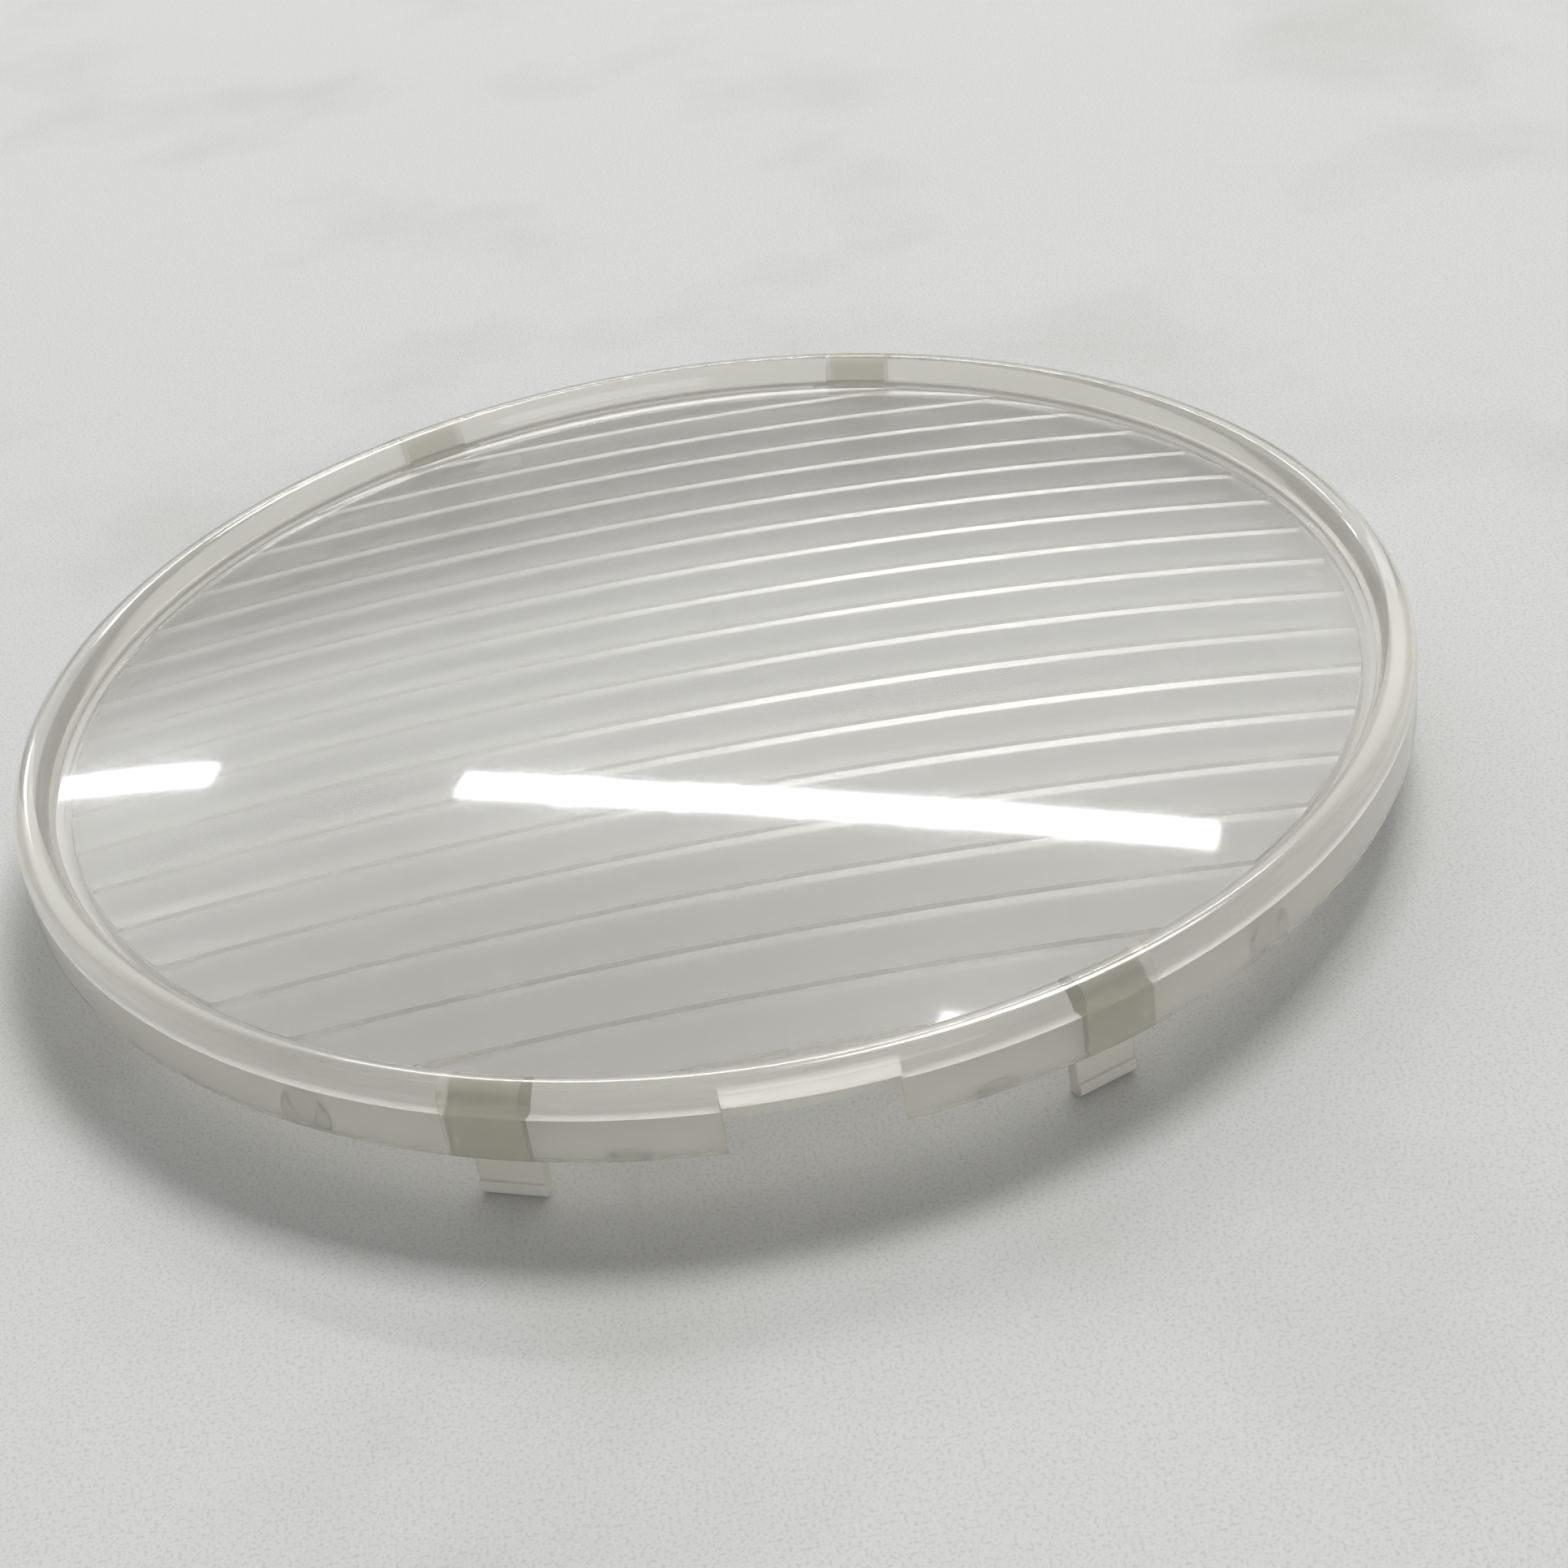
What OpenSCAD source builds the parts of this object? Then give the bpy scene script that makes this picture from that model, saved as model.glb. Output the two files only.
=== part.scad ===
// Round snap-in lamp lens: a clear domed disc with a fluted underside, set inside a raised
// hollow rim with a pry notch, and four legs that end in snap hooks. It stands on the hooks'
// tips, with the notch toward -Y and the flutes along X.

/* [Lens] */
// Diameter of the domed face
lens_d = 96; // [70:1:130]
// Height of the crown above the dome's own edge
dome_rise = 3.2; // [1.5:0.1:6]
// Thickness from the face to the flutes' tips
lens_t = 2; // [1.6:0.1:3]
// Spacing of the flutes
flute_pitch = 5.14; // [3:0.02:8]
// Height of the step between two flutes
flute_step = 0.7; // [0.2:0.05:1]
// Offset of the middle step from the lens's centre, away from the notch
flute_shift = 0.8; // [-2.5:0.1:2.5]

/* [Rim] */
// Width of the rim outside the dome
rim_w = 2.8; // [2.2:0.1:4]
// Height of the rim from its top to the skirt's lower edge
rim_h = 5.2; // [4.8:0.1:8]
// Height of the rim's top above the dome's edge
bead_h = 1.7; // [0.8:0.1:2]
// Slope of the face that rises from the dome's edge, as its run outward
bead_run = 0.8; // [0.1:0.1:1]
// Thickness of the outer skirt
skirt_t = 1; // [0.8:0.1:1.2]
// Depth of plastic between the rim's top and the channel's roof
roof_t = 2.4; // [2:0.1:3]
// Rounding of the rim's outer edge
rim_round = 1.2; // [0.4:0.1:1.4]
// Step from the dome's edge in to the locating wall's outer face
wall_step = 0.6; // [0.3:0.1:1]
// Thickness of the locating wall
wall_t = 0.6; // [0.5:0.1:1.2]

/* [Pry notch] */
// Width of the notch in the skirt
notch_w = 10.7; // [6:0.1:20]
// Height of the rim left standing over the notch
notch_top = 1.7; // [1.3:0.1:2.4]

/* [Legs] */
// Angle from the notch's axis to each leg, at the front and at the back
leg_angle = 22.5; // [15:0.5:40]
// Width of a leg across the channel
leg_w = 5.2; // [5:0.1:8]
// Width of a leg where it joins the locating wall
leg_root_w = 7.4; // [6:0.1:12]
// Depth of that wider root, outward from the wall
leg_root_t = 0.6; // [0.3:0.1:0.9]

/* [Snap hooks] */
// Width of a hook at its root
hook_w = 4.6; // [3:0.1:4.8]
// Narrowing of each side down to the tip
hook_taper = 0.2; // [0:0.05:0.5]
// Thickness of a hook's stem
hook_t = 1; // [0.8:0.1:1.2]
// Reach of a hook below the skirt
hook_drop = 5; // [2:0.1:6]
// Reach of the catch outward from the stem
catch_t = 0.3; // [0.1:0.05:0.6]
// Height of the catch
catch_h = 1.3; // [0.8:0.1:1.4]
// Running clearance of the hook's round root in its seat
hook_gap = 0.06; // [0.04:0.01:0.1]

/* [Ejector pads] */
// Diameter of the ejector pads
pad_d = 3.8; // [2:0.1:5]
// Thickness of a pad on the skirt's inner face
pad_t = 0.3; // [0.2:0.05:0.6]
// Height of the tall pads above the skirt's lower edge
pad_high = 2.6; // [1.5:0.1:2.7]
// Height of the low pads beside the notch
pad_low = 0.7; // [0.5:0.1:1.5]
// Angle of the low pads from the notch's axis
pad_low_angle = 12.8; // [11:0.1:14]

/* [Hidden] */

lens_r = lens_d / 2;
rim_r = lens_r + rim_w;
skirt_in_r = rim_r - skirt_t;
wall_r = lens_r - wall_step;
wall_in_r = wall_r - wall_t;
skirt_z = hook_drop;
rim_top_z = skirt_z + rim_h;
edge_z = rim_top_z - bead_h;
disc_z = edge_z - lens_t;
roof_z = rim_top_z - roof_t;
notch_z = rim_top_z - notch_top;
crown_z = edge_z + dome_rise;
dome_r = (lens_r * lens_r + dome_rise * dome_rise) / (2 * dome_rise);
centre_z = crown_z - dome_r;
tip_r = dome_r - lens_t;
valley_r = tip_r + flute_step;
flute_count = floor(wall_in_r / flute_pitch);
hook_r = wall_r + hook_t / 2 + hook_gap;
pad_high_angles = [37, 84.5, 133];
notch_azimuth = -90;
cut = 1;            // overshoot of a cutting tool past what it cuts
coarse_fn = 96;     // small circles
fine_fn = 256;      // large circles
clear_c = [0.9, 0.92, 0.9, 0.35];
milky_c = [0.86, 0.86, 0.83, 0.8];
leg_c = [0.72, 0.7, 0.62, 0.9];
hook_c = [0.78, 0.75, 0.66, 0.9];

// Radius of the surface of revolution, about the Y axis through the dome's centre, that a
// sphere of the given radius has at distance y from the middle
function girth(sphere_r, y) = sqrt(sphere_r * sphere_r - y * y);

// Annular prism between two radii
module ring(inner_r, outer_r, low_z, high_z) {
    translate([0, 0, low_z])
        difference() {
            cylinder(r = outer_r, h = high_z - low_z, $fn = fine_fn);
            translate([0, 0, -cut])
                cylinder(r = inner_r, h = high_z - low_z + 2 * cut, $fn = fine_fn);
        }
}

// Turns what points along +X so that it lies at an azimuth from the notch's axis
module at_azimuth(angle) {
    rotate([0, 0, notch_azimuth + angle])
        children();
}

// Place along Y of a numbered step between two flutes
function step_y(i) = i * flute_pitch + flute_shift;

// Saw-tooth outline of the flutes along Y: each one runs from a valley out to a tip, and a
// step brings it back to the next valley
function saw_tooth() = [
    for (i = [-flute_count - 1 : flute_count])
        each [
            [girth(valley_r, step_y(i)), step_y(i)],
            [girth(tip_r, step_y(i + 1)), step_y(i + 1)]
        ]
];

// Body of air below the flutes
module flute_air() {
    depth = dome_rise + lens_t + 2 * cut;
    sweep = 2 * asin((lens_r + cut) / (tip_r - depth));
    floor_line = [
        [tip_r - depth, step_y(flute_count + 1)], [tip_r - depth, step_y(-flute_count - 1)]
    ];
    translate([0, 0, centre_z])
        rotate([90, 0, 0])
            rotate([0, 0, 90 - sweep / 2])
                rotate_extrude(angle = sweep, $fn = fine_fn)
                    polygon(concat(saw_tooth(), floor_line));
}

// Disc under the dome, from its flat edge face up to the crown, before the flutes
module domed_disc() {
    rotate_extrude($fn = fine_fn)
        intersection() {
            translate([0, centre_z])
                circle(r = dome_r, $fn = fine_fn);
            translate([0, disc_z])
                square([lens_r, lens_t + dome_rise + cut]);
        }
}

// What lies inside the locating wall's inner face
module inside_wall() {
    translate([0, 0, disc_z - cut])
        cylinder(r = wall_in_r, h = lens_t + dome_rise + 3 * cut, $fn = fine_fn);
}

// Clear disc with the domed face, the fluted underside and a plain edge over the wall
module fluted_lens() {
    color(clear_c)
        union() {
            difference() {
                domed_disc();
                inside_wall();
            }
            difference() {
                intersection() {
                    domed_disc();
                    inside_wall();
                }
                flute_air();
            }
        }
}

// Wall under the dome's edge that locates the lens over the lamp's opening
module locating_wall() {
    color(milky_c)
        ring(wall_in_r, wall_r, skirt_z, disc_z);
}

// Outline of the rim on one side, with the raised bead and its rounded outer edge
module rim_outline() {
    difference() {
        union() {
            translate([lens_r, skirt_z])
                square([rim_w, rim_h - rim_round]);
            translate([lens_r, skirt_z])
                square([rim_w - rim_round, rim_h]);
            translate([rim_r - rim_round, rim_top_z - rim_round])
                circle(r = rim_round, $fn = coarse_fn);
        }
        polygon([
            [lens_r - cut, edge_z], [lens_r, edge_z], [lens_r + bead_run, rim_top_z],
            [lens_r + bead_run, rim_top_z + cut], [lens_r - cut, rim_top_z + cut]
        ]);
        translate([lens_r - cut, skirt_z - cut])
            square([skirt_in_r - lens_r + cut, roof_z - skirt_z + cut]);
    }
}

// Hollow rim round the dome: the raised bead over the channel, and the skirt with its notch
module rim_skirt() {
    color(milky_c)
        difference() {
            rotate_extrude($fn = fine_fn)
                rim_outline();
            intersection() {
                ring((lens_r + skirt_in_r) / 2, rim_r + cut, skirt_z - cut, notch_z);
                at_azimuth(0)
                    translate([0, -notch_w / 2, skirt_z - 2 * cut])
                        cube([rim_r + 2 * cut, notch_w, notch_z - skirt_z + 3 * cut]);
            }
        }
}

// Solid leg that fills the channel: a wide root on the wall and a narrower web to the
// skirt, with a round seat below for the hook
module leg(angle) {
    color(leg_c)
        difference() {
            union() {
                intersection() {
                    ring(wall_r, skirt_in_r, skirt_z, disc_z);
                    at_azimuth(angle)
                        union() {
                            leg_block(leg_w, rim_r);
                            leg_block(leg_root_w, wall_r + leg_root_t);
                        }
                }
                intersection() {
                    ring(lens_r, skirt_in_r, disc_z, roof_z);
                    at_azimuth(angle)
                        leg_block(leg_w, rim_r);
                }
            }
            at_azimuth(angle)
                translate([hook_r, 0, skirt_z])
                    rotate([90, 0, 0])
                        cylinder(r = hook_t / 2 + hook_gap, h = leg_root_w + 2 * cut, center = true,
                            $fn = coarse_fn);
        }
}

// Upright block from the axis out to a reach, as high as the channel
module leg_block(width, reach) {
    translate([0, -width / 2, skirt_z - cut])
        cube([reach, width, roof_z - skirt_z + 2 * cut]);
}

// Snap hook: a stem with a round root in the leg's seat, and a catch that points outward
// over a tapered tip
module hook(angle) {
    half_t = hook_t / 2;
    tip_chamfer = catch_t + 0.2;
    outline = [
        [-half_t, skirt_z], [-half_t, 0],
        [half_t + catch_t - tip_chamfer, 0], [half_t + catch_t, tip_chamfer],
        [half_t + catch_t, catch_h], [half_t, catch_h], [half_t, skirt_z]
    ];
    color(hook_c)
        at_azimuth(angle)
            translate([hook_r, 0, 0])
                intersection() {
                    rotate([90, 0, 0])
                        linear_extrude(height = hook_w, center = true)
                            union() {
                                polygon(outline);
                                translate([0, skirt_z])
                                    circle(r = half_t, $fn = coarse_fn);
                            }
                    translate([-hook_t, 0, 0])
                        rotate([90, 0, 90])
                            linear_extrude(height = 3 * hook_t)
                                polygon([
                                    [hook_taper - hook_w / 2, 0], [hook_w / 2 - hook_taper, 0],
                                    [hook_w / 2, skirt_z], [hook_w / 2, skirt_z + hook_t],
                                    [-hook_w / 2, skirt_z + hook_t], [-hook_w / 2, skirt_z]
                                ]);
                }
}

// Half-round pad on the skirt's inner face, cut off at the skirt's lower edge
module pad(angle, height) {
    intersection() {
        ring(skirt_in_r - pad_t, skirt_in_r, skirt_z, roof_z);
        at_azimuth(angle)
            translate([lens_r, 0, skirt_z + height - pad_d / 2])
                rotate([0, 90, 0])
                    cylinder(d = pad_d, h = rim_w, $fn = coarse_fn);
    }
}

// The eight ejector pads, in mirrored pairs about the notch's axis
module ejector_pads() {
    color(milky_c)
        union() {
            for (side = [-1, 1]) {
                pad(side * pad_low_angle, pad_low);
                for (angle = pad_high_angles)
                    pad(side * angle, pad_high);
            }
        }
}

fluted_lens();
locating_wall();
rim_skirt();
leg(-leg_angle);  // leg_front_left
leg(leg_angle);  // leg_front_right
leg(180 + leg_angle);  // leg_back_left
leg(180 - leg_angle);  // leg_back_right
hook(-leg_angle);  // hook_front_left
hook(leg_angle);  // hook_front_right
hook(180 + leg_angle);  // hook_back_left
hook(180 - leg_angle);  // hook_back_right
ejector_pads();
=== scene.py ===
"""Round snap-in lamp lens of clear moulded plastic, on a pale floor.

Each piece is a closed mesh. The disc, the wall and the rim are shells of welded patches, and the
legs, hooks and pads are copies of their CAD nodes. The real lens is one moulding, so most faces
that touch a neighbour get a material that lets light straight on, or show a leg's half-clear core,
whose tan is partly the plastic's depth and partly painted shade.
"""
import math

import bmesh
import bpy
from mathutils import Matrix, Vector


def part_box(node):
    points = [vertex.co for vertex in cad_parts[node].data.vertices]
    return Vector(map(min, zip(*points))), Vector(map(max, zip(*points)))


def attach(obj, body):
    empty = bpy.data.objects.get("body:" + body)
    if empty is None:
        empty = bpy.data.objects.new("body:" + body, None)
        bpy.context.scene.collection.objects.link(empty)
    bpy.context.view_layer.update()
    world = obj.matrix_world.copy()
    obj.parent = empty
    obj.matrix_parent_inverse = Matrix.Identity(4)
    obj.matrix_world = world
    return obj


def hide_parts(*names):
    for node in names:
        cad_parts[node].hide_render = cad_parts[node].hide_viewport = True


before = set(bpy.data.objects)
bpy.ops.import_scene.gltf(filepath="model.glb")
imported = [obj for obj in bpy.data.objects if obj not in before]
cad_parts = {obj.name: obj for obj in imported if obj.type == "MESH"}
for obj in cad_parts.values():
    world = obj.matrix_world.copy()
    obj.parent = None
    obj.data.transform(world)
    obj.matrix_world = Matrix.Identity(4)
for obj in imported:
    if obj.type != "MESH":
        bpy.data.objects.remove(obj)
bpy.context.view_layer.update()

# ---------------------------------------------------------------- sizes, in metres and degrees
MM = 0.001
BODY = "lens_body"
RIM_W = 2.8 * MM
SKIRT_T = 1 * MM
WALL_STEP = 0.6 * MM                    # from the dome's edge in to the locating wall
WALL_T = 0.6 * MM
BEAD_H = 1.7 * MM                       # how far the bead stands over the dome's edge
BEAD_RUN = 0.8 * MM                     # how far the bead's inner side leans out
ROOF_T = 2.4 * MM                       # from the rim's top down to the channel's roof
RIM_ROUND = 1.2 * MM
CREST_ROUND = 0.9 * MM                  # rounding of the bead's inner crest
EDGE_ROUND = 0.15 * MM                  # small rounding of the lower edges
LENS_T = 2 * MM
DOME_RISE = 3.2 * MM
FLUTE_PITCH = 5.14 * MM
FLUTE_STEP = 0.7 * MM
FLUTE_SHIFT = 0.8 * MM
NOTCH_AT = -90                          # azimuth of the pry notch
NOTCH_TOP = 1.7 * MM                    # from the rim's top down to the notch's top
NOTCH_HALF = 5.35 * MM
LEG_ANGLE = 22.5                        # from the notch's axis to each leg
WEB_HALF = 2.6 * MM                     # a leg's web, and its wider root on the wall
ROOT_HALF = 3.7 * MM
SEAT_H = 0.6 * MM                       # the hook's seat lies this near the skirt's edge
HOOK_BEVEL = 0.1 * MM
LEGS = {"front_left": NOTCH_AT - LEG_ANGLE, "front_right": NOTCH_AT + LEG_ANGLE,
        "back_right": NOTCH_AT + 180 - LEG_ANGLE, "back_left": NOTCH_AT + 180 + LEG_ANGLE}

rim_low, rim_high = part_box("rim_skirt")
RIM_R = rim_high.x                      # outside of the rim
RIM_TOP = rim_high.z
SKIRT_Z = rim_low.z                     # lower edge of the skirt
LENS_R = RIM_R - RIM_W                  # edge of the dome
SKIRT_IN_R = RIM_R - SKIRT_T            # inner face of the skirt
WALL_R = LENS_R - WALL_STEP             # outer face of the locating wall
WALL_IN_R = WALL_R - WALL_T
EDGE_Z = RIM_TOP - BEAD_H               # edge of the dome
DISC_Z = EDGE_Z - LENS_T                # underside of the dome's edge
ROOF_Z = RIM_TOP - ROOF_T
NOTCH_Z = RIM_TOP - NOTCH_TOP
RELIEF_R = (LENS_R + SKIRT_IN_R) / 2    # how far in the notch is cut
DOME_R = (LENS_R ** 2 + DOME_RISE ** 2) / (2 * DOME_RISE)
CENTRE_Z = EDGE_Z + DOME_RISE - DOME_R  # centre of the dome's sphere
TIP_R = DOME_R - LENS_T                 # spheres of the flutes' tips and valleys
VALLEY_R = TIP_R + FLUTE_STEP

# ---------------------------------------------------------------- fineness of the meshes
DOME_RINGS = 60
FLUTE_COLUMNS = 96
FLUTE_TURN = 1.5                        # degrees of the disc's edge for each row of a flute
FEWEST_ROWS = 3
FEWEST_STEPS = 2                        # round the axis, between two marks
RIM_STEPS = 12
CREST_STEPS = 5
EDGE_STEPS = 4
BEVEL_STEPS = 3
BEVEL_FROM = 40                         # degrees between faces
SHARP_FROM = 30
FLAT_WITHIN = 1
WELD = 1e-8

# ---------------------------------------------------------------- stations round the axis
# Each feature's sides are planes, so the angle of a side depends on the radius.


def features():
    """The angles where the kind of wall changes, from the notch's left side round to it again."""
    marks = [(NOTCH_AT, -NOTCH_HALF, "notch"), (NOTCH_AT, NOTCH_HALF, "plain")]
    for azimuth in sorted(a if a > NOTCH_AT else a + 360 for a in LEGS.values()):
        marks += [(azimuth, -ROOT_HALF, "root"), (azimuth, -WEB_HALF, "web"),
                  (azimuth, WEB_HALF, "root"), (azimuth, ROOT_HALF, "plain")]
    return marks + [(NOTCH_AT + 360, -NOTCH_HALF, "end")]


MARKS = features()


def mark_angles(r):
    return [math.radians(azimuth) + math.asin(side / r) for azimuth, side, _ in MARKS]


def steps_between():
    """How many faces lie between two marks: about one for each degree."""
    at = mark_angles(RIM_R)
    return [max(FEWEST_STEPS, round(math.degrees(b - a))) for a, b in zip(at, at[1:])]


STEPS = steps_between()
KINDS = [kind for (_, _, kind), n in zip(MARKS, STEPS) for _ in range(n)]


def stations(r):
    """The angles of the points round the axis at a radius."""
    at = mark_angles(r)
    out = []
    for a, b, n in zip(at, at[1:], STEPS):
        out += [a + (b - a) * i / n for i in range(n)]
    return out + [at[-1]]


def point(r, angle, z):
    return Vector((r * math.cos(angle), r * math.sin(angle), z))


def loop(r, z, angles=None):
    return [point(r, a, z) for a in (angles or stations(r))]


def arc(centre_r, centre_z, radius, start, end, steps):
    """The (radius, height) points of a round in a profile."""
    out = []
    for i in range(steps + 1):
        a = math.radians(start + (end - start) * i / steps)
        out.append((centre_r + radius * math.cos(a), centre_z + radius * math.sin(a)))
    return out


def where(kinds, chosen, other):
    """Gives a picker of slots: chosen in columns of these kinds, and other in the rest."""
    return lambda kind: chosen if kind in kinds else other


def in_notch(kind):
    return kind == "notch"


def beside_notch(kind):
    return kind != "notch"


# ---------------------------------------------------------------- shells


class Shell:
    """Gathers the patches of one closed piece, and welds them into an object."""

    def __init__(self):
        self.places, self.faces, self.slots = [], [], []

    def face(self, points, slot):
        first = len(self.places)
        self.places += points
        self.faces.append(range(first, first + len(points)))
        self.slots.append(slot)

    def grid(self, rows, slot, keep=None):
        """Faces between rows of points. slot is a number, or picks one from a column's kind, and
        keep says for each kind whether its columns are made."""
        for low, high in zip(rows, rows[1:]):
            for i in range(len(low) - 1):
                kind = KINDS[i] if callable(slot) or keep else None
                if keep and not keep(kind):
                    continue
                self.face([low[i], low[i + 1], high[i + 1], high[i]],
                          slot(kind) if callable(slot) else slot)

    def turned(self, profile, slot, keep=None):
        """The profile's (radius, height) points, turned about the axis."""
        self.grid([loop(r, z) for r, z in profile], slot, keep)

    def fill_between(self, outer, inner, slot):
        """Triangles between two loops, each with steps of its own. The inner loop is turned to
        start where the outer one does."""
        def angle(p, start):
            return (math.atan2(p.y, p.x) - start) % math.tau
        start = math.atan2(outer[0].y, outer[0].x)
        outer_at = [angle(p, start) for p in outer[:-1]] + [math.tau]
        first_at, shift = min((angle(p, start), i) for i, p in enumerate(inner))
        inner = inner[shift:] + inner[:shift]
        inner_at = [angle(p, start) for p in inner] + [math.tau + first_at]
        inner = inner + [inner[0]]
        i = j = 0
        while i < len(outer) - 1 or j < len(inner) - 1:
            if j == len(inner) - 1 or (i < len(outer) - 1 and outer_at[i + 1] <= inner_at[j + 1]):
                self.face([outer[i], outer[i + 1], inner[j]], slot)
                i += 1
            else:
                self.face([outer[i], inner[j + 1], inner[j]], slot)
                j += 1

    def build(self, name, materials, nodes):
        mesh = bpy.data.meshes.new(name)
        mesh.from_pydata(self.places, [], self.faces)
        mesh.polygons.foreach_set("material_index", self.slots)
        return finish_piece(name, mesh, materials, nodes)


def finish_piece(name, mesh, materials, nodes, body=BODY):
    """Welds a mesh, turns its faces outward, shades it smooth and puts it on its body."""
    shape = bmesh.new()
    shape.from_mesh(mesh)
    bmesh.ops.remove_doubles(shape, verts=shape.verts, dist=WELD)
    bmesh.ops.dissolve_degenerate(shape, edges=shape.edges, dist=WELD)
    bmesh.ops.recalc_face_normals(shape, faces=shape.faces)
    open_edges = sum(not e.is_manifold for e in shape.edges)
    print("piece", name, "faces", len(shape.faces), "open edges", open_edges,
          "volume mm3", round(shape.calc_volume() / MM ** 3, 1))
    shape.to_mesh(mesh)
    shape.free()
    mesh.polygons.foreach_set("use_smooth", [True] * len(mesh.polygons))
    mesh.set_sharp_from_angle(angle=math.radians(SHARP_FROM))
    for m in materials:
        mesh.materials.append(m)
    piece = bpy.data.objects.new(name, mesh)
    bpy.context.scene.collection.objects.link(piece)
    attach(piece, body)
    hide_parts(*nodes)
    return piece


# ---------------------------------------------------------------- parts of a shader


def new_material(name):
    material = bpy.data.materials.new(name)
    material.use_nodes = True
    tree = material.node_tree
    return material, tree, tree.nodes["Principled BSDF"]


def noise(tree, scale, detail, stretch=(1, 1, 1), turn=0):
    """A noise in the object's own space, stretched along the axes and turned about Z."""
    place = tree.nodes.new("ShaderNodeTexCoord")
    mapping = tree.nodes.new("ShaderNodeMapping")
    mapping.inputs["Rotation"].default_value = (0, 0, turn)
    mapping.inputs["Scale"].default_value = stretch
    texture = tree.nodes.new("ShaderNodeTexNoise")
    texture.inputs["Scale"].default_value = scale
    texture.inputs["Detail"].default_value = detail
    tree.links.new(place.outputs["Object"], mapping.inputs["Vector"])
    tree.links.new(mapping.outputs["Vector"], texture.inputs["Vector"])
    return texture.outputs["Fac"]


def spread(tree, value, low, high, bottom, top):
    """Maps a value from low..high to bottom..top."""
    node = tree.nodes.new("ShaderNodeMapRange")
    node.inputs["From Min"].default_value = low
    node.inputs["From Max"].default_value = high
    node.inputs["To Min"].default_value = bottom
    node.inputs["To Max"].default_value = top
    tree.links.new(value, node.inputs["Value"])
    return node.outputs["Result"]


def rise(tree, value, low, high):
    """0 below low, 1 above high and smooth between them; the other way round if low > high."""
    node = tree.nodes.new("ShaderNodeMapRange")
    node.interpolation_type = "SMOOTHSTEP"
    node.inputs["From Min"].default_value = min(low, high)
    node.inputs["From Max"].default_value = max(low, high)
    node.inputs["To Min"].default_value = float(low > high)
    node.inputs["To Max"].default_value = float(low < high)
    tree.links.new(value, node.inputs["Value"])
    return node.outputs["Result"]


def colours(tree, value, low, high, first, second):
    """Maps a value from low..high to a mix of two colours, on the node's vector sockets."""
    node = tree.nodes.new("ShaderNodeMapRange")
    node.data_type = "FLOAT_VECTOR"
    vector, from_min, from_max, to_min, to_max = node.inputs[6:11]
    from_min.default_value = (low, low, low)
    from_max.default_value = (high, high, high)
    to_min.default_value = first
    to_max.default_value = second
    tree.links.new(value, vector)
    return node.outputs["Vector"]


def times(tree, first, second):
    node = tree.nodes.new("ShaderNodeMath")
    node.operation = "MULTIPLY"
    for value, socket in zip((first, second), node.inputs):
        tree.links.new(value, socket)
    return node.outputs[0]


def bump(tree, height, strength, distance, before=None):
    node = tree.nodes.new("ShaderNodeBump")
    node.inputs["Strength"].default_value = strength
    node.inputs["Distance"].default_value = distance
    tree.links.new(height, node.inputs["Height"])
    if before is not None:
        tree.links.new(before, node.inputs["Normal"])
    return node.outputs["Normal"]


# ---------------------------------------------------------------- materials
# The scales of the noises are about their features for each metre.
PLASTIC_IOR = 1.49
NOISE_RANGE = (0.2, 0.8)                # the part of a noise's values that carries its change
CLOUD_SCALE = 45
SMEAR_SCALE = 70
GRAIN_DEPTH = 0.01 * MM
HAZE_ROUGH = 0.22
HAZE_IOR = 1.5
SCRATCH_SCALE = 110
SCRATCH_DEPTH = 0.001 * MM
SCRATCHES = ((0.3, 30), (-0.9, 22), (1.4, 26))     # each way's turn, in radians, and its stretch


def plastic(name, first, second, rough, passes, grain, grain_scale, haze=0.0):
    """Clear moulded plastic: two close colours, a range of roughness and a fine grain. passes is
    the share of light that goes in, and haze the weight of a rough coat over the surface."""
    material, tree, shader = new_material(name)
    cloud = noise(tree, CLOUD_SCALE, detail=1)
    tree.links.new(colours(tree, cloud, *NOISE_RANGE, first, second), shader.inputs["Base Color"])
    shader.inputs["IOR"].default_value = PLASTIC_IOR
    shader.inputs["Transmission Weight"].default_value = passes
    smear = noise(tree, SMEAR_SCALE, detail=2)
    tree.links.new(spread(tree, smear, *NOISE_RANGE, *rough), shader.inputs["Roughness"])
    if haze:
        shader.inputs["Coat Weight"].default_value = haze
        shader.inputs["Coat Roughness"].default_value = HAZE_ROUGH
        shader.inputs["Coat IOR"].default_value = HAZE_IOR
    normal = bump(tree, noise(tree, grain_scale, detail=2), grain, GRAIN_DEPTH)
    tree.links.new(normal, shader.inputs["Normal"])
    return material


def bonded():
    """Where two pieces of the one moulding meet: light goes straight on."""
    material = bpy.data.materials.new("bond")
    material.use_nodes = True
    tree = material.node_tree
    tree.nodes.clear()
    clear = tree.nodes.new("ShaderNodeBsdfTransparent")
    out = tree.nodes.new("ShaderNodeOutputMaterial")
    tree.links.new(clear.outputs[0], out.inputs["Surface"])
    return material


def core_plastic():
    """What shows of a leg's tan depth through the rim: half clear, half tan. The tan is partly the
    plastic's depth tint and partly painted shade of the shaded floor seen down through the solid
    leg.
    """
    material, tree, shader = new_material("leg_core_tan_and_shade")
    cloud = noise(tree, scale=500, detail=2)
    # Painted shade mixed with the tan depth tint.
    tint = colours(tree, cloud, 0.3, 0.7, (0.60, 0.56, 0.42), (0.66, 0.62, 0.48))
    tree.links.new(tint, shader.inputs["Base Color"])
    shader.inputs["Roughness"].default_value = 0.5
    shader.inputs["Alpha"].default_value = 0.6
    return material


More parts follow.
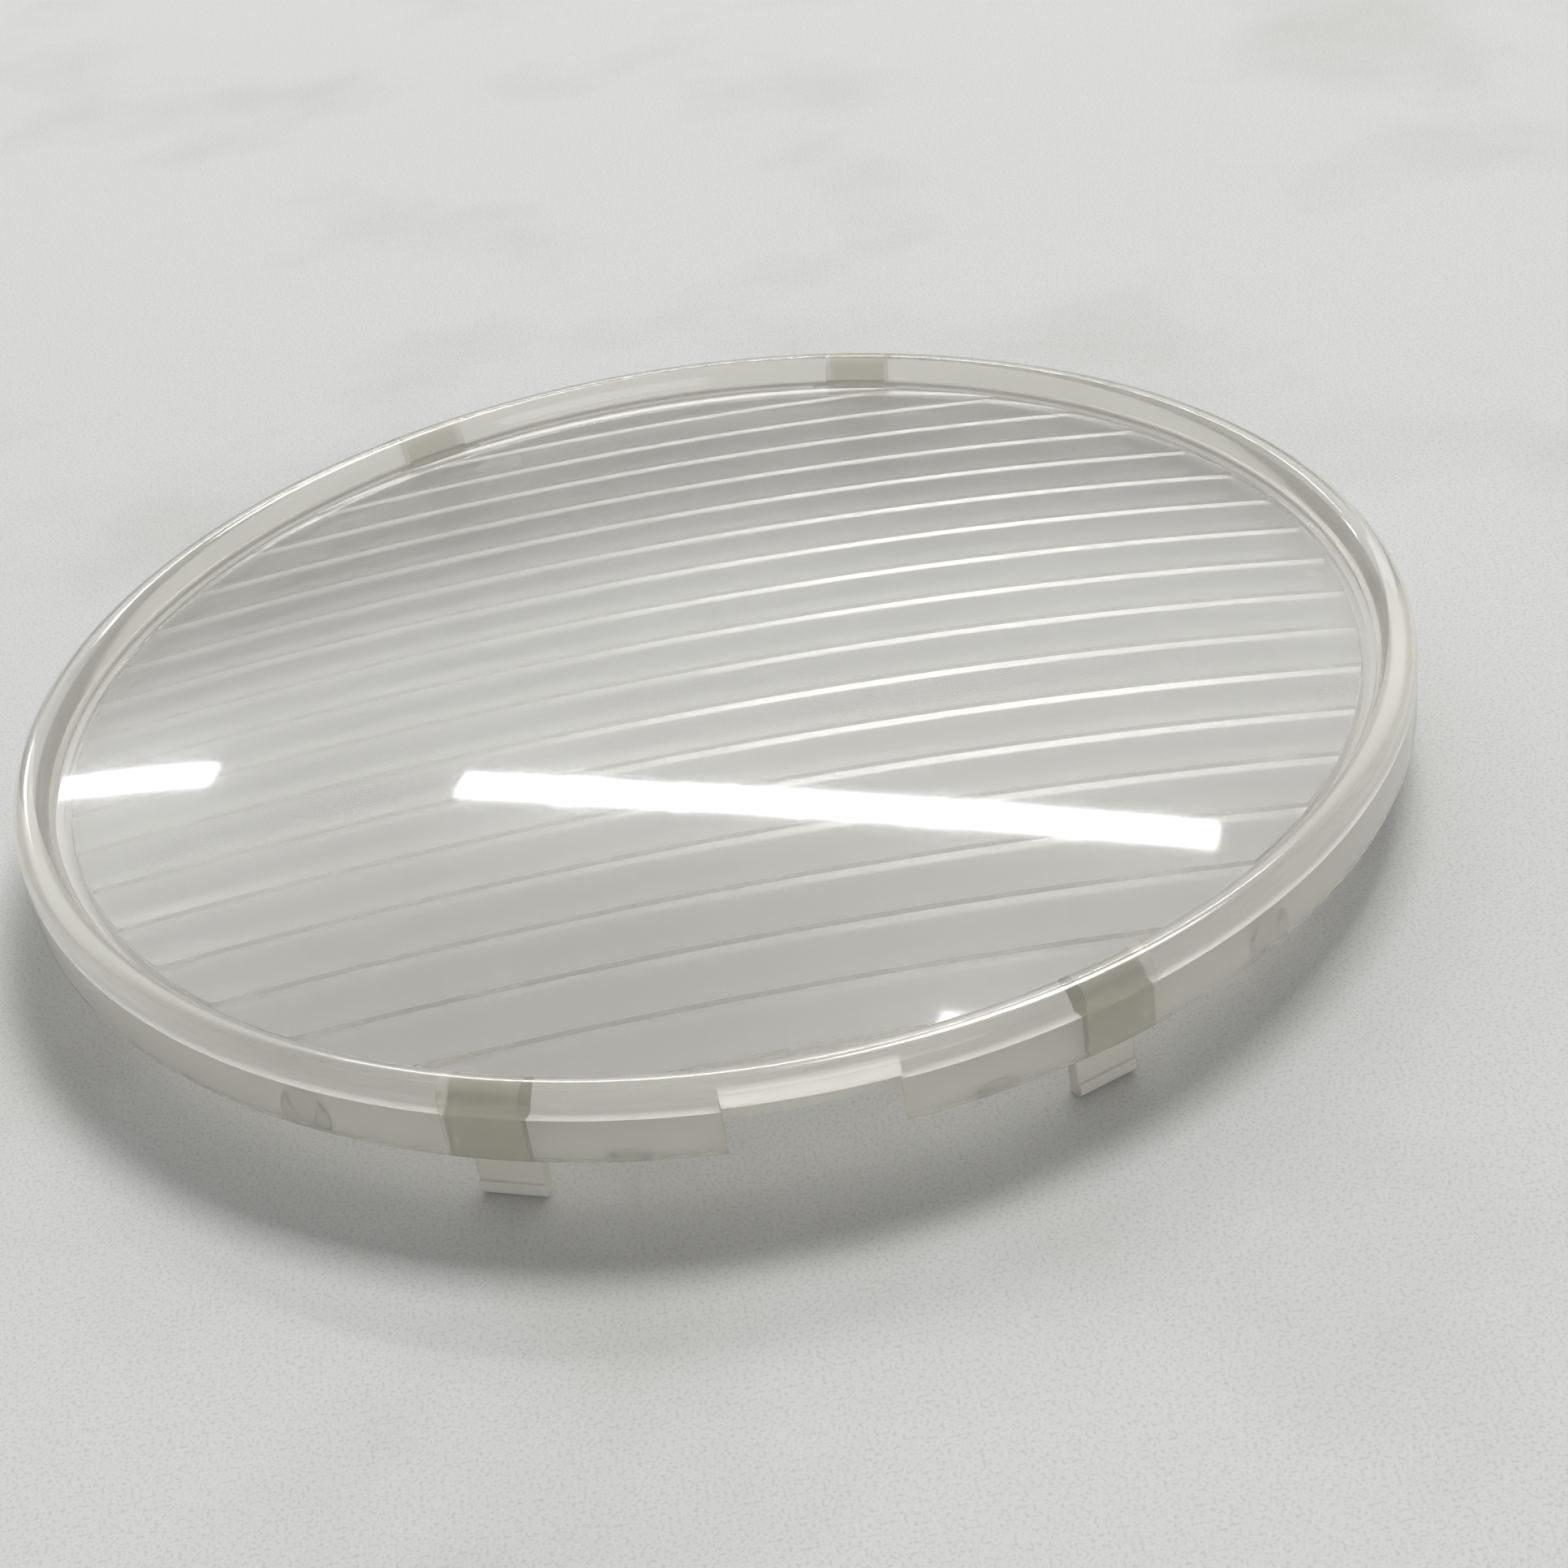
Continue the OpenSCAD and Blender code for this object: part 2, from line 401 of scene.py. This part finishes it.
def face_plastic():
    """The dome's glossy face, with faint hairline scratches that run three ways."""
    material = plastic("dome_gloss", (0.985, 0.97, 0.93), (0.995, 0.98, 0.94),
                       rough=(0.03, 0.05), passes=0.88, grain=0.02, grain_scale=2500, haze=0.25)
    tree = material.node_tree
    shader = tree.nodes["Principled BSDF"]
    normal = shader.inputs["Normal"].links[0].from_socket
    for turn, stretch in SCRATCHES:
        streaks = noise(tree, SCRATCH_SCALE, 3, (stretch, 1, 1), turn)
        line = spread(tree, streaks, 0.68, 0.76, 0, 1)
        normal = bump(tree, line, 0.1, SCRATCH_DEPTH, normal)
    tree.links.new(normal, shader.inputs["Normal"])
    return material


BOND = bonded()
DOME = face_plastic()
FLUTE = plastic("flute_satin", (0.975, 0.96, 0.92), (0.99, 0.975, 0.935),
                rough=(0.2, 0.28), passes=0.9, grain=0.06, grain_scale=5200)
# Painted shade: the risers are the same plastic as the flutes, but tinted darker so that they show
# as dark lines.
RISER = plastic("flute_riser_painted_shade", (0.86, 0.845, 0.80), (0.90, 0.885, 0.84),
                rough=(0.06, 0.1), passes=0.9, grain=0.02, grain_scale=4000)
OUTSIDE = plastic("rim_gloss", (0.97, 0.955, 0.90), (0.985, 0.97, 0.915),
                  rough=(0.07, 0.12), passes=0.86, grain=0.05, grain_scale=2200, haze=0.12)
# Painted shade: the rim's outside over each leg web is a darker tan. It is partly the leg's depth
# tint and partly the shaded floor seen down through the solid leg.
LEG_SHADE_ON_RIM = plastic("rim_leg_tan_and_shade", (0.83, 0.805, 0.715), (0.87, 0.845, 0.755),
                   rough=(0.08, 0.14), passes=0.68, grain=0.05, grain_scale=2200, haze=0.12)
CHANNEL = plastic("channel_satin", (0.95, 0.93, 0.86), (0.97, 0.95, 0.88),
                  rough=(0.45, 0.6), passes=0.4, grain=0.2, grain_scale=2600)
LEG = plastic("leg_plastic", (0.80, 0.785, 0.72), (0.85, 0.835, 0.77),
              rough=(0.25, 0.4), passes=0.55, grain=0.2, grain_scale=2400)
CORE = core_plastic()
HOOK = plastic("hook_plastic", (0.86, 0.835, 0.745), (0.92, 0.895, 0.80),
               rough=(0.25, 0.4), passes=0.15, grain=0.25, grain_scale=2400)
PAD = plastic("pad_satin", (0.9, 0.885, 0.84), (0.93, 0.915, 0.87),
              rough=(0.25, 0.4), passes=0.7, grain=0.2, grain_scale=2400)

# ---------------------------------------------------------------- the disc


def step_y(i):
    """Where the i-th flute starts, at the riser from the tip of the one before."""
    return i * FLUTE_PITCH + FLUTE_SHIFT


def girth(sphere_r, y):
    """The radius of the circle that a plane at y cuts from a sphere."""
    return math.sqrt(sphere_r ** 2 - y ** 2)


def dome_rings():
    angles = stations(LENS_R)
    radii = [LENS_R * i / DOME_RINGS for i in range(DOME_RINGS + 1)]
    return [loop(r, CENTRE_Z + girth(DOME_R, r), angles) for r in radii]


def flute_strips():
    """Each flute as rows of points, from the notch's side to the back. A flute starts on the
    valleys' sphere and ends on the tips', and its rows are arcs whose radius goes evenly from
    one sphere's to the other's."""
    count = math.floor(WALL_IN_R / FLUTE_PITCH)
    strips = []
    for i in range(-count - 2, count + 2):
        low, high = step_y(i), step_y(i + 1)
        start, end = max(low, -WALL_IN_R), min(high, WALL_IN_R)
        if start >= end:
            continue
        first, last = girth(VALLEY_R, low), girth(TIP_R, high)
        at = [math.asin(y / WALL_IN_R) for y in (start, end)]
        n = max(FEWEST_ROWS, math.ceil(math.degrees(at[1] - at[0]) / FLUTE_TURN))
        rows = []
        for j in range(n + 1):
            turn = at[0] + (at[1] - at[0]) * j / n
            y = start if j == 0 else end if j == n else WALL_IN_R * math.sin(turn)
            reach = WALL_IN_R * math.cos(turn) if abs(y) < WALL_IN_R else 0
            g = first + (last - first) * (y - low) / (high - low)
            xs = [reach * (2 * k / FLUTE_COLUMNS - 1) for k in range(FLUTE_COLUMNS + 1)]
            rows.append([Vector((x, y, CENTRE_Z + math.sqrt(g * g - x * x))) for x in xs])
        strips.append(rows)
    return strips


def add_flutes(shell, satin, riser):
    """Adds the flutes, the steps between them and the walls at their ends, and returns the loop
    of points round the walls' feet."""
    right, left = [], []
    before = None
    for rows in flute_strips():
        shell.grid(rows, satin)
        if before is not None:
            shell.grid([before[-1], rows[0]], riser)
        for side, edge in ((right, -1), (left, 0)):
            for j, (row, next_row) in enumerate(zip(rows, rows[1:])):
                top, next_top = row[edge], next_row[edge]
                foot, next_foot = (Vector((p.x, p.y, DISC_Z)) for p in (top, next_top))
                side.append(foot)
                corners = [top, next_top, next_foot, foot]
                if j == 0 and before is not None:
                    corners.append(before[-1][edge])
                shell.face(corners, riser)
        before = rows
    end = before[-1][0]
    return right + [Vector((end.x, end.y, DISC_Z))] + left[:0:-1]


def make_lens():
    glossy, satin, riser, channel, bond = range(5)
    shell = Shell()
    shell.grid(dome_rings(), glossy)
    shell.turned([(LENS_R, EDGE_Z), (LENS_R, ROOF_Z)], bond)
    shell.turned([(LENS_R, ROOF_Z), (LENS_R, DISC_Z)], where(["web"], bond, channel))
    shell.turned([(LENS_R, DISC_Z), (WALL_R, DISC_Z)], where(["web", "root"], bond, channel))
    feet = add_flutes(shell, satin, riser)
    shell.fill_between(loop(WALL_R, DISC_Z), feet, bond)
    return shell.build("lens_disc", [DOME, FLUTE, RISER, CHANNEL, BOND],
                       ["fluted_lens"])


# ---------------------------------------------------------------- the wall and the rim


def make_wall():
    satin, bond = range(2)
    shell = Shell()
    e = EDGE_ROUND
    inside = [(WALL_IN_R, DISC_Z), (WALL_IN_R, SKIRT_Z + e)]
    rounded = arc(WALL_IN_R + e, SKIRT_Z + e, e, 180, 270, EDGE_STEPS)
    shell.turned(inside + rounded + [(WALL_R, SKIRT_Z)], satin)
    shell.turned([(WALL_R, SKIRT_Z), (WALL_R, DISC_Z)], where(["web", "root"], bond, satin))
    shell.turned([(WALL_R, DISC_Z), (WALL_IN_R, DISC_Z)], bond)
    return shell.build("locating_ring", [CHANNEL, BOND], ["locating_wall"])


def bead_profile():
    """The bead from the outer wall over its round top and crest down to the dome's edge."""
    top = arc(RIM_R - RIM_ROUND, RIM_TOP - RIM_ROUND, RIM_ROUND, 0, 90, RIM_STEPS)
    lean = math.degrees(math.atan2(BEAD_RUN, RIM_TOP - EDGE_Z))
    crest_r = LENS_R + BEAD_RUN + CREST_ROUND / math.tan(math.radians((90 + lean) / 2))
    crest = arc(crest_r, RIM_TOP - CREST_ROUND, CREST_ROUND, 90, 180 - lean, CREST_STEPS)
    return [(RIM_R, NOTCH_Z)] + top + crest + [(LENS_R, EDGE_Z)]


def make_rim():
    outside, channel, bond, over_leg = range(4)
    shell = Shell()
    # The outside over each leg web gets the darker tan with painted shade.
    shown = where(["web"], over_leg, outside)
    on_leg = where(["web"], bond, channel)
    e = EDGE_ROUND
    foot = [(SKIRT_IN_R, SKIRT_Z)] + arc(RIM_R - e, SKIRT_Z + e, e, 270, 360, EDGE_STEPS)
    shell.turned(bead_profile(), shown)
    shell.turned([(LENS_R, EDGE_Z), (LENS_R, ROOF_Z)], bond)
    shell.turned([(LENS_R, ROOF_Z), (RELIEF_R, ROOF_Z)], on_leg)
    shell.turned([(RELIEF_R, ROOF_Z), (SKIRT_IN_R, ROOF_Z), (SKIRT_IN_R, SKIRT_Z)], on_leg,
                 beside_notch)
    shell.turned(foot, outside, beside_notch)
    shell.turned([(RIM_R, SKIRT_Z + e), (RIM_R, NOTCH_Z)], shown, beside_notch)
    cut = [(RELIEF_R, NOTCH_Z), (SKIRT_IN_R, NOTCH_Z), (RIM_R, NOTCH_Z)]
    shell.turned([(RELIEF_R, ROOF_Z)] + cut, channel, in_notch)
    side = [(RELIEF_R, ROOF_Z), (SKIRT_IN_R, ROOF_Z)] + foot + cut[::-1]
    for hand in (-1, 1):
        shell.face([point(r, math.radians(NOTCH_AT) + hand * math.asin(NOTCH_HALF / r), z)
                    for r, z in side], channel)
    return shell.build("hollow_rim", [OUTSIDE, CHANNEL, BOND, LEG_SHADE_ON_RIM], ["rim_skirt"])


# ---------------------------------------------------------------- legs, hooks and pads


def copy_of(node):
    """A copy of a CAD node's mesh, all in the first material slot."""
    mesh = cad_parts[node].data.copy()
    mesh.materials.clear()
    mesh.polygons.foreach_set("material_index", [0] * len(mesh.polygons))
    return mesh


# How the faces of a copied leg are told apart: distances, and parts of a face's normal.
TOUCHING = 0.04 * MM
LEVEL = 0.005 * MM
OUTWARD = 0.7
DOWNWARD = -0.02


def near(value, target, within=TOUCHING):
    return abs(value - target) < within


def leg_slot(face, points, out):
    """The slot of a leg's face: 2 where it touches the disc, wall or rim, 1 on the round seat of
    the hook, and 0 where it is free. out points from the axis to the leg."""
    radii = [math.hypot(p.x, p.y) for p in points]
    flat = near(face.center.z, ROOF_Z) or near(face.center.z, DISC_Z)
    curved = any(all(near(r, face_r) for r in radii) for face_r in (SKIRT_IN_R, LENS_R, WALL_R))
    if flat or (curved and abs(face.normal.dot(out)) > OUTWARD):
        return 2
    low = max(p.z for p in points) < SKIRT_Z + SEAT_H and face.normal.z < DOWNWARD
    return int(low and not near(face.center.z, SKIRT_Z, LEVEL))


def make_leg(place):
    node = "leg_" + place
    mesh = copy_of(node)
    out = point(1, math.radians(LEGS[place]), 0)
    for face in mesh.polygons:
        face.material_index = leg_slot(face, [mesh.vertices[i].co for i in face.vertices], out)
    # Slot 2, on the faces that touch, shows the half-clear core, tan with painted shade.
    return finish_piece("solid_" + node, mesh, [LEG, BOND, CORE], [node])


def make_hook(place):
    """The snap hook. Its flat faces are made whole first, so that only real corners are beveled."""
    node = "hook_" + place
    mesh = copy_of(node)
    shape = bmesh.new()
    shape.from_mesh(mesh)
    bmesh.ops.remove_doubles(shape, verts=shape.verts, dist=WELD)
    bmesh.ops.dissolve_limit(shape, angle_limit=math.radians(FLAT_WITHIN), verts=shape.verts,
                             edges=shape.edges)
    shape.to_mesh(mesh)
    shape.free()
    hook = finish_piece("snap_" + node, mesh, [HOOK], [node], "snap_" + place)
    soften = hook.modifiers.new("soften", "BEVEL")
    soften.width = HOOK_BEVEL
    soften.segments = BEVEL_STEPS
    soften.limit_method = "ANGLE"
    soften.angle_limit = math.radians(BEVEL_FROM)
    return hook


def make_pads():
    return finish_piece("pin_marks", copy_of("ejector_pads"), [PAD], ["ejector_pads"])


make_lens()
make_wall()
make_rim()
for place in LEGS:
    make_leg(place)
    make_hook(place)
make_pads()

# ---------------------------------------------------------------- floor
FLOOR_HALF = 3


def make_floor():
    """Pale paper: a fine speckle under a soft mottle."""
    mesh = bpy.data.meshes.new("floor")
    corners = [(x * FLOOR_HALF, y * FLOOR_HALF, 0) for x, y in ((-1, -1), (1, -1), (1, 1), (-1, 1))]
    mesh.from_pydata(corners, [], [(0, 1, 2, 3)])
    material, tree, shader = new_material("floor_paper")
    speck = noise(tree, scale=4200, detail=3)
    tint = colours(tree, speck, 0.34, 0.5, (0.55, 0.55, 0.54), (0.645, 0.645, 0.632))
    stain = noise(tree, scale=26, detail=5)
    mottle = colours(tree, stain, 0.3, 0.48, (0.90, 0.895, 0.88), (1, 1, 1))
    stained = tree.nodes.new("ShaderNodeVectorMath")
    stained.operation = "MULTIPLY"
    tree.links.new(tint, stained.inputs[0])
    tree.links.new(mottle, stained.inputs[1])
    tree.links.new(stained.outputs[0], shader.inputs["Base Color"])
    shader.inputs["Roughness"].default_value = 0.9
    mesh.materials.append(material)
    floor = bpy.data.objects.new("floor", mesh)
    bpy.context.scene.collection.objects.link(floor)


make_floor()

# ---------------------------------------------------------------- lamps
TUBE_OVERLAP = 1.02                     # each lamp of a tube runs a little into the next


def lamp(name, place, along, length, width, power):
    """A soft rectangle that faces the object, its long side along a direction."""
    light = bpy.data.lights.new(name, "AREA")
    light.shape = "RECTANGLE"
    light.size, light.size_y, light.energy = length, width, power
    obj = bpy.data.objects.new(name, light)
    bpy.context.scene.collection.objects.link(obj)
    back = Vector(place).normalized()
    side = Vector(along) - back * Vector(along).dot(back)
    side.normalize()
    turn = Matrix((side, back.cross(side), back)).transposed().to_4x4()
    turn.translation = Vector(place)
    obj.matrix_world = turn


def tube(name, start, end, width, power, sag=0.0, parts=1):
    """A ceiling tube light that bows sideways by sag, as a chain of short lamps."""
    start, end = Vector(start), Vector(end)
    run = end - start
    across = Vector((run.y, -run.x, 0)).normalized()
    points = []
    for i in range(parts + 1):
        t = i / parts
        points.append(start + run * t + across * sag * 4 * t * (1 - t))
    for i, (a, b) in enumerate(zip(points, points[1:])):
        lamp(f"{name}_{i}", (a + b) / 2, b - a, (b - a).length * TUBE_OVERLAP, width,
             power / parts)


tube("long_tube", (-0.202, 1.343, 1.0), (0.479, 0.980, 1.0), width=0.036, power=2.9,
     sag=0.052, parts=6)
tube("short_tube", (-0.770, 1.916, 1.0), (-0.580, 1.739, 1.0), width=0.042, power=1.1)
lamp("key", (0.50, 0.80, 1.77), (1, -0.6, 0), length=0.8, width=0.55, power=23)
lamp("front", (0.3, -1.8, 0.65), (1, 0, 0), length=1.3, width=0.6, power=5)

# ---------------------------------------------------------------- world
SKY_COLOUR = (0.90, 0.91, 0.92, 1)
SKY_STRENGTH = 0.32
BAND_STRENGTH = 2.1
# Z of a unit direction, and Y for the back: the band is dark at the first and full at the second.
BAND_FOOT = (0.30, 0.50)
BAND_TOP = (0.76, 0.56)
BAND_BACK = (0.35, 0.75)


def make_world():
    """A pale even sky, with a brighter soft band behind that the dome mirrors."""
    world = bpy.data.worlds.new("studio")
    bpy.context.scene.world = world
    world.use_nodes = True
    tree = world.node_tree
    place = tree.nodes.new("ShaderNodeTexCoord")
    parts = tree.nodes.new("ShaderNodeSeparateXYZ")
    tree.links.new(place.outputs["Generated"], parts.inputs[0])
    up, behind = parts.outputs["Z"], parts.outputs["Y"]
    band = times(tree, rise(tree, up, *BAND_FOOT), rise(tree, up, *BAND_TOP))
    band = times(tree, band, rise(tree, behind, *BAND_BACK))
    sky = tree.nodes["Background"]
    sky.inputs["Color"].default_value = SKY_COLOUR
    strength = spread(tree, band, 0, 1, SKY_STRENGTH, BAND_STRENGTH)
    tree.links.new(strength, sky.inputs["Strength"])


make_world()

# ---------------------------------------------------------------- camera
CAMERA_AIM = Vector((3.12 * MM, -17.52 * MM, EDGE_Z))
CAMERA_AWAY = 188.25 * MM
CAMERA_AZIMUTH = math.radians(-93.785)
CAMERA_HEIGHT = math.radians(32.864)
CAMERA_ROLL = math.radians(-8.168)
SENSOR = 36                             # millimetres, as is the focal length
FOCAL = 63.354
CLIP_NEAR, CLIP_FAR = 0.01, 20


def make_camera():
    camera = bpy.data.objects.new("camera", bpy.data.cameras.new("camera"))
    bpy.context.scene.collection.objects.link(camera)
    back = point(math.cos(CAMERA_HEIGHT), CAMERA_AZIMUTH, math.sin(CAMERA_HEIGHT))
    right = Vector((0, 0, 1)).cross(back).normalized()
    up = back.cross(right)
    turn = Matrix((right, up, back)).transposed() @ Matrix.Rotation(CAMERA_ROLL, 3, "Z")
    place = turn.to_4x4()
    place.translation = CAMERA_AIM + back * CAMERA_AWAY
    camera.matrix_world = place
    camera.data.sensor_width = SENSOR
    camera.data.lens = FOCAL
    camera.data.clip_start = CLIP_NEAR
    camera.data.clip_end = CLIP_FAR
    bpy.context.scene.camera = camera


make_camera()
bpy.context.scene.view_settings.view_transform = "Standard"
